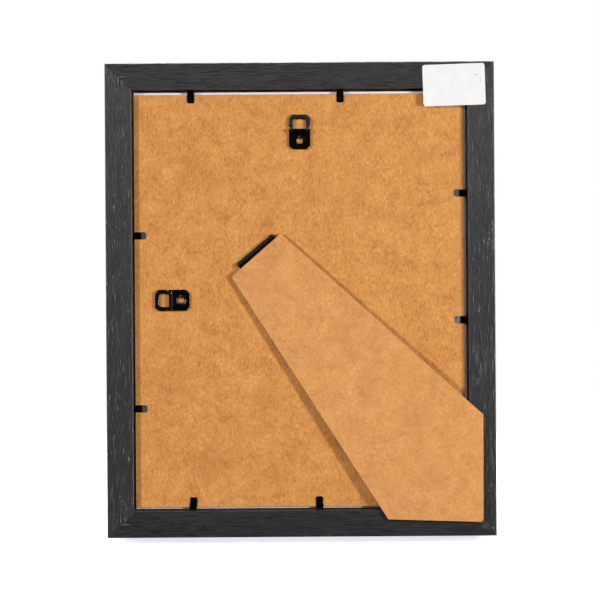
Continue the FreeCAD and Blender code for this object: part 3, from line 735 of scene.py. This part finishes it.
def hardboardFinish(name, tones, smudges, turn, screenBack=False, scratch=None):
    look = hardboard
    shares = look["shares"]
    finish = Finish(name)
    coarse = finish.grain(11.0, 4, 0.6, 0.4)
    mottle = finish.grain(2.4, 5, 0.66, 0.6, shift=(4, 9, 2))
    fine = finish.grain((0.6, 1.0, 1.7), 4, 0.7, 0.5, turn=(0, turn, 0), shift=(9, 2, 6))
    tone = 0.24 * coarse + 0.2 * mottle + 0.56 * fine
    colour = finish.blend(finish.rise(tone, 0.38, 0.5), tones[0], tones[1])
    colour = finish.blend(finish.rise(tone, 0.5, 0.63), colour, tones[2])
    # pressed fibres that lie three ways: two pale, one dark
    lays = (((6.0, 2.0, 0.42), 0.5), ((5.0, 2.0, 0.36), -0.8), ((7.0, 2.0, 0.4), 1.5))
    fibres = []
    for index, (size, angle) in enumerate(lays):
        lay = finish.grain(size, 2, 0.5, 1.6, turn=(0, angle + turn, 0),
                           shift=(index * 13, 0, index * 7))
        fibres.append(finish.rise(lay, 0.58, 0.72))
    pale = finish.greater(fibres[0], fibres[1] * 0.8)
    colour = finish.blend(pale * shares["paleFibres"], colour, tones[2])
    colour = finish.blend(fibres[2] * shares["darkFibres"], colour, tones[0])
    patchy = finish.rise(finish.grain(13.0, 5, 0.7, 1.2, shift=(6, 1, 3)), 0.54, 0.7)
    stain = patchy * finish.rise(fine, 0.42, 0.56)
    colour = finish.blend(stain * shares["stain"], colour, tones[0])
    here = finish.rise(finish.grain(7.0, 1, 0.5, shift=(2, 2, 2)), 0.5, 0.56)
    specks = finish.rise(finish.cells(4.2), 0.13, 0.05) * here
    crumbs = finish.rise(finish.cells(1.9, (3, 1, 8)), 0.16, 0.06) * finish.rise(mottle, 0.47, 0.4)
    dark = finish.greater(specks * shares["specks"], crumbs * shares["crumbs"])
    colour = finish.blend(dark, colour, look["speckTone"])
    colour = finish.rubbed(colour, smudges, finish.rise(mottle, 0.38, 0.62), tones[0])
    if scratch:
        mask = scratchMask(finish, *scratch)
        colour = finish.blend(mask * shares["scratch"], colour, look["paleTone"])
        # painted light: the board made paler inside the hanger plates' holes, which the rims shade
        for spot in look["clinchHoles"]:
            paintedHoleLight = finish.blob(spot, look["clinchRadius"])
            colour = finish.blend(paintedHoleLight * shares["clinch"], colour, look["paleTone"])
    height, depth = 0.5 * fine + 0.3 * mottle + 0.35 * pale - 0.6 * crumbs, look["relief"]
    if screenBack:
        laid = finish.laid([look["screenPitch"]] * 3, turn=(0, turn, 0))
        weft, warp = [finish.add("ShaderNodeTexWave", {"bands_direction": way},
                                 {"Vector": laid, **look["screenWave"]}, 1)
                      for way in ("X", "Z")]
        screen = finish.greater(weft, warp)
        colour = finish.tint(colour, 0.72 + 0.24 * screen)
        height, depth = height + 1.6 * screen, look["screenRelief"]
    return finish.close({
        "Base Color": colour,
        "Roughness": 0.52 + 0.2 * mottle,
        "Specular IOR Level": 0.3,
        "Normal": finish.bump(height, depth, 0.7),
    })


def sawnFinish():
    finish = Finish("sawnHardboard")
    layers = finish.grain((2.4, 0.22, 2.4), 3, 0.6, 0.5)
    crumbs = finish.grain(0.5, 3, 0.7, shift=(1, 2, 3))
    tone = 0.6 * layers + 0.4 * crumbs
    sawn = finish.rise(tone, 0.38, 0.62)
    colour = finish.blend(sawn, hardboard["sawnTone"], hardboard["legTones"][1])
    return finish.close({"Base Color": colour, "Roughness": 0.78, "Specular IOR Level": 0.2,
                         "Normal": finish.bump(tone, 0.2, 0.8)})


def makePanel(nodeName, body, edge, finishes):
    mesh = softened(nodeName, edge)
    for material in finishes:            # smooth back, sawn edges, screened front
        mesh.materials.append(material)
    for face in mesh.polygons:
        lean = face.normal.y
        face.material_index = 0 if lean > 0.6 else 2 if lean < -0.6 else 1
    newPiece(nodeName + "_panel", mesh, body, replaced=[nodeName])


def makeHardboard():
    look = hardboard
    sawn = sawnFinish()
    screened = hardboardFinish("hardboardScreenSide", look["legTones"], [], look["legTurn"], True)
    boardSmooth = hardboardFinish("backing_boardSmooth", look["boardTones"], look["boardSmudges"],
                                  0.0, scratch=look["scratch"])
    makePanel("backing_board", "frame", look["boardEdge"],
              (boardSmooth, sawn, screened))
    legSmooth = hardboardFinish("easel_legSmooth", look["legTones"], look["legSmudges"],
                                look["legTurn"])
    makePanel("easel_leg", "leg", look["legEdge"], (legSmooth, sawn, screened))


makeHardboard()
print("hardboard made")


# Black steel hardware
blackSteel = {
    "tone": (0.0012, 0.0012, 0.0013),
    "rubTone": (0.03, 0.03, 0.032),
    # the colour of the painted glints on the hanger plates' rims, and how far from the hole they
    # lie
    "rimTone": (0.3, 0.3, 0.33),
    "rimRadius": 2.75,
    "shares": {"smear": 0.1, "scratch": 0.25, "rim": 0.8},
    "coatRoughness": 0.15,
    "lacquers": {               # finish, roughness, coat, gloss
        "plate": ("blackLacquer", 0.27, 0.01, 0.05),
        "ring": ("blackRingLacquer", 0.2, 0.08, 0.26),
        "hinge": ("blackHingeLacquer", 0.12, 0.25, 0.5),
    },
    "pieces": {                 # node: body, edge rounding, lacquer
        "hanger_plate_top": ("frame", 0.09, "plate"),
        "hanger_plate_side": ("frame", 0.09, "plate"),
        "hanger_ring_top": ("top_ring", 0.1, "ring"),
        "hanger_ring_side": ("side_ring", 0.1, "ring"),
        "hinge_fixed_leaf": ("frame", 0.07, "hinge"),
        "hinge_moving_leaf": ("leg", 0.07, "hinge"),
        "hinge_pin": ("frame", 0.08, "hinge"),
    },
    "tabEdge": 0.09,
    "tabTone": (0.001, 0.001, 0.001),
    "tabGloss": (0.1, 0.0, 0.25),                            # roughness, coat, gloss
    "wornTips": {               # tabs with a painted sheen on their free end: where it starts, and its tone
        "flex_tab_left_upper": (97.4, (0.075, 0.085, 0.095)),
        "flex_tab_left_lower": (97.6, (0.15, 0.175, 0.2)),
        "flex_tab_right_upper": (97.4, (0.06, 0.07, 0.075)),
        "flex_tab_right_lower": (97.4, (0.06, 0.07, 0.075)),
    },
}


def steelFinish(name, tone, roughness, coat, gloss, sheenTip=None):
    look = blackSteel
    shares = look["shares"]
    finish = Finish(name)
    skin = finish.grain(0.5, 3, 0.6)
    smear = finish.grain(3.0, 3, 0.6, 1.0, shift=(4, 4, 1))
    lines = finish.grain((0.16, 0.16, 5.0), 1, 0.5, 0.4, turn=(0, 0.6, 0))
    scratch = finish.rise(lines, 0.7, 0.76)
    rub = finish.rise(smear, 0.62, 0.75) * shares["smear"] + scratch * shares["scratch"]
    colour = finish.blend(rub, tone, look["rubTone"])
    for spot in hardboard["clinchHoles"]:                       # painted glints: lighter patches on the raised rims round the holes
        rim = finish.rise(abs(finish.awayFrom(spot) - look["rimRadius"]), 0.4, 0.1)
        worn = rim * finish.rise(smear, 0.5, 0.6)
        colour = finish.blend(worn * shares["rim"], colour, look["rimTone"])
    # painted sheen on the free end of a tab
    if sheenTip:
        start, bareTone = sheenTip
        tip = finish.rise(abs(finish.x) + 0.5 * skin, start + 0.6, start - 0.2)
        colour = finish.blend(tip * finish.rise(smear, 0.25, 0.5), colour, bareTone)
    return finish.close({
        "Base Color": colour,
        "Roughness": roughness + 0.05 * smear + 0.1 * rub,
        "Specular IOR Level": gloss,
        "Coat Weight": coat,
        "Coat Roughness": look["coatRoughness"],
        "Normal": finish.bump(skin, 0.01, 0.4),
    })


def makeSteel():
    look = blackSteel
    lacquers = {kind: steelFinish(name, look["tone"], *gloss)
                for kind, (name, *gloss) in look["lacquers"].items()}
    for nodeName, (body, width, kind) in look["pieces"].items():
        mesh = softened(nodeName, width)
        newPiece(nodeName + "_steel", mesh, body, lacquers[kind], [nodeName])
    tabSteel = steelFinish("blackTabSteel", look["tabTone"], *look["tabGloss"])
    dress("flex_tab_roots", tabSteel)
    for nodeName in nodes:
        if nodeName.startswith("flex_tab_") and nodeName != "flex_tab_roots":
            steel = tabSteel
            if nodeName in look["wornTips"]:
                steel = steelFinish(nodeName + "Worn", look["tabTone"], *look["tabGloss"],
                                    look["wornTips"][nodeName])
            mesh = softened(nodeName, look["tabEdge"])
            body = nodeName.replace("flex_", "")
            newPiece(nodeName + "_steel", mesh, body, steel, [nodeName])


makeSteel()
print("steel made")


# What keeps its CAD shape: nails, glass, mount and sheet
keptLooks = {
    # the nails' near-black steel, partly a painted shade for the narrow slots they sit in
    "nailTones": ((0.004, 0.004, 0.004), (0.03, 0.027, 0.024)),
    "glassTone": (0.94, 0.975, 0.96, 1),
    "glassShade": (0.92, 0.95, 0.94, 1),                     # what light keeps on its way through
    "papers": {                 # finish, tone, shade, fibre, relief
        "window_mount": ("whiteMountCard", (0.87, 0.83, 0.88), (0.82, 0.78, 0.83), 0.8, 0.05),
        "picture_sheet": ("plainSheet", (0.76, 0.745, 0.70), (0.70, 0.685, 0.64), 0.5, 0.025),
    },
}


def nailFinish():
    finish = Finish("dullNailSteel")
    stain = finish.grain(0.9, 3, 0.7)
    colour = finish.blend(finish.rise(stain, 0.45, 0.7), *keptLooks["nailTones"])
    return finish.close({"Base Color": colour, "Metallic": 0.8, "Roughness": 0.5 + 0.3 * stain,
                         "Normal": finish.bump(stain, 0.03, 0.6)})


def glassFinish():
    finish = Finish("clearGlass")
    smear = finish.grain((70.0, 30.0, 22.0), 3, 0.5, 0.8)
    pane = finish.add("ShaderNodeBsdfPrincipled", {}, {
        "Base Color": keptLooks["glassTone"], "Transmission Weight": 1.0, "IOR": 1.5,
        "Roughness": 0.01 + 0.05 * finish.rise(smear, 0.55, 0.8),
    })
    clear = finish.add("ShaderNodeBsdfTransparent", {}, {"Color": keptLooks["glassShade"]})
    rays = finish.add("ShaderNodeLightPath", take="Is Shadow Ray")
    passing = finish.greater(rays, finish.more(rays, "Is Diffuse Ray"))
    both = finish.add("ShaderNodeMixShader", {}, {0: passing, 1: pane, 2: clear})
    finish.add("ShaderNodeOutputMaterial", {}, {"Surface": both})
    return finish.material


def paperFinish(name, tone, shade, fibre, depth):
    finish = Finish(name)
    pulp = finish.grain(fibre, 4, 0.65, 0.6)
    cloud = finish.grain(26.0, 2, 0.5)
    lays = finish.rise(0.6 * pulp + 0.4 * cloud, 0.34, 0.66)
    return finish.close({
        "Base Color": finish.blend(lays, shade, tone), "Roughness": 0.82 + 0.1 * pulp,
        "Specular IOR Level": 0.25, "Normal": finish.bump(pulp, depth, 0.6)})


dress("corner_v_nails", nailFinish())
dress("glass_pane", glassFinish())
for paperName, paperLook in keptLooks["papers"].items():
    dress(paperName, paperFinish(*paperLook))
print("kept nodes finished")


# Label: a thin blank sticker across the corner, free over the recess
label = {
    "width": 38.1,
    "height": 25.4,
    "corner": 1.5,
    "thickness": 0.13,
    "gap": 0.01,
    "middle": (-94.75, 276.2),
    "leanDegrees": 1.6,
    "step": 0.75,
    "sag": 0.3,                 # over the recess, reached over this far in from the rails
    "sagReach": 4.0,
    "ripple": (0.3, 0.35, 1.0), # share of the sag, pitch and start
    "curl": 0.25,               # its corners, from this far in
    "curlReach": 5.0,
    "tone": (0.82, 0.815, 0.8),
    "shade": (0.765, 0.765, 0.76),
    "smudgeTone": (0.6, 0.61, 0.61),
    "creaseShare": 0.12,
    "smudges": [                # place across and up, radius, share
        ((-109.2, 276.4), 2.2, 0.28), ((-106.0, 280.6), 1.4, 0.3), ((-111.9, 277.0), 1.2, 0.2),
        ((-88.0, 284.6), 3.0, 0.12), ((-110.4, 268.0), 2.4, 0.14),
    ],
}


def labelFinish():
    look = label
    finish = Finish("blankLabelPaper")
    pulp = finish.grain(0.6, 4, 0.6)
    cloud = finish.grain((9.0, 9.0, 14.0), 3, 0.6, 0.8)
    clean = finish.rise(0.4 * pulp + 0.6 * cloud, 0.36, 0.6)
    colour = finish.blend(clean, look["shade"], look["tone"])
    patchy = finish.rise(pulp, 0.35, 0.6)
    colour = finish.rubbed(colour, look["smudges"], patchy, look["smudgeTone"])
    fromDarkLine = abs(finish.x + 0.03 * finish.z + 119.3)              # a faint darker line across the label, near its outer end
    darkLine = finish.rise(fromDarkLine, 0.6, 0.1) * finish.rise(cloud, 0.4, 0.6)
    colour = finish.blend(darkLine * look["creaseShare"], colour, look["smudgeTone"])
    return finish.close({"Base Color": colour, "Roughness": 0.62, "Specular IOR Level": 0.3,
                         "Normal": finish.bump(pulp, 0.02, 0.5)})


def roundedSpot(x, z, halfWidth, halfHeight, corner):
    # carries a rectangle's points to the same rectangle with round corners
    overX, overZ = abs(x) - (halfWidth - corner), abs(z) - (halfHeight - corner)
    if overX <= 0 or overZ <= 0:
        return x, z
    reach = max(overX, overZ)
    if overX >= overZ:
        angle = math.pi / 4 * overZ / overX
    else:
        angle = math.pi / 2 - math.pi / 4 * overX / overZ
    newX = halfWidth - corner + reach * math.cos(angle)
    newZ = halfHeight - corner + reach * math.sin(angle)
    return math.copysign(newX, x), math.copysign(newZ, z)


def labelDepth(across, up, x, z):
    # how far a point of the label stands off the rails' backs: its corners curl, its middle sags
    look = label
    recess = moulding["width"] / 2 - moulding["rabbetEdge"]
    recessTop = moulding["height"] - moulding["rabbetEdge"]
    free = min(max(x + recess, 0), max(recessTop - z, 0))
    share, pitch, start = look["ripple"]
    wave = 1 - share + share * math.sin(x * pitch + start)
    sag = look["sag"] * (1 - math.exp(-free / look["sagReach"])) * wave
    reach = look["curlReach"]
    beside = max(0, (abs(across) - look["width"] / 2 + reach) / reach)
    over = max(0, (abs(up) - look["height"] / 2 + reach) / reach)
    return look["curl"] * (beside * over) ** 2 - sag


def makeLabel():
    look = label
    halfWidth, halfHeight = look["width"] / 2, look["height"] / 2
    lean = math.radians(look["leanDegrees"])
    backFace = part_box("rail_top")[1].y / mm
    columns, rows = round(look["width"] / look["step"]), round(look["height"] / look["step"])
    points = []
    for row in range(rows + 1):
        for column in range(columns + 1):
            across = (column / columns * 2 - 1) * halfWidth
            up = (row / rows * 2 - 1) * halfHeight
            across, up = roundedSpot(across, up, halfWidth, halfHeight, look["corner"])
            x = look["middle"][0] + across * math.cos(lean) + up * math.sin(lean)
            z = look["middle"][1] - across * math.sin(lean) + up * math.cos(lean)
            y = backFace + labelDepth(across, up, x, z) + look["gap"]
            points.append((x * mm, y * mm, z * mm))
    wide = columns + 1
    faces = [(r * wide + c, r * wide + c + 1, (r + 1) * wide + c + 1, (r + 1) * wide + c)
             for r in range(rows) for c in range(columns)]
    mesh = bpy.data.meshes.new("corner_label_paper")
    mesh.from_pydata(points, [], faces)
    mesh.flip_normals()                                         # they face outwards, to the back
    holder = newObject("labelSheet", mesh)
    thick = holder.modifiers.new("thickness", "SOLIDIFY")
    thick.thickness = look["thickness"] * mm
    thick.offset = 1.0
    mesh = plainMesh(holder)
    smoothed(mesh, 50)
    newPiece("corner_label_paper", mesh, "frame", labelFinish(), ["corner_label"])


makeLabel()
print("label made")
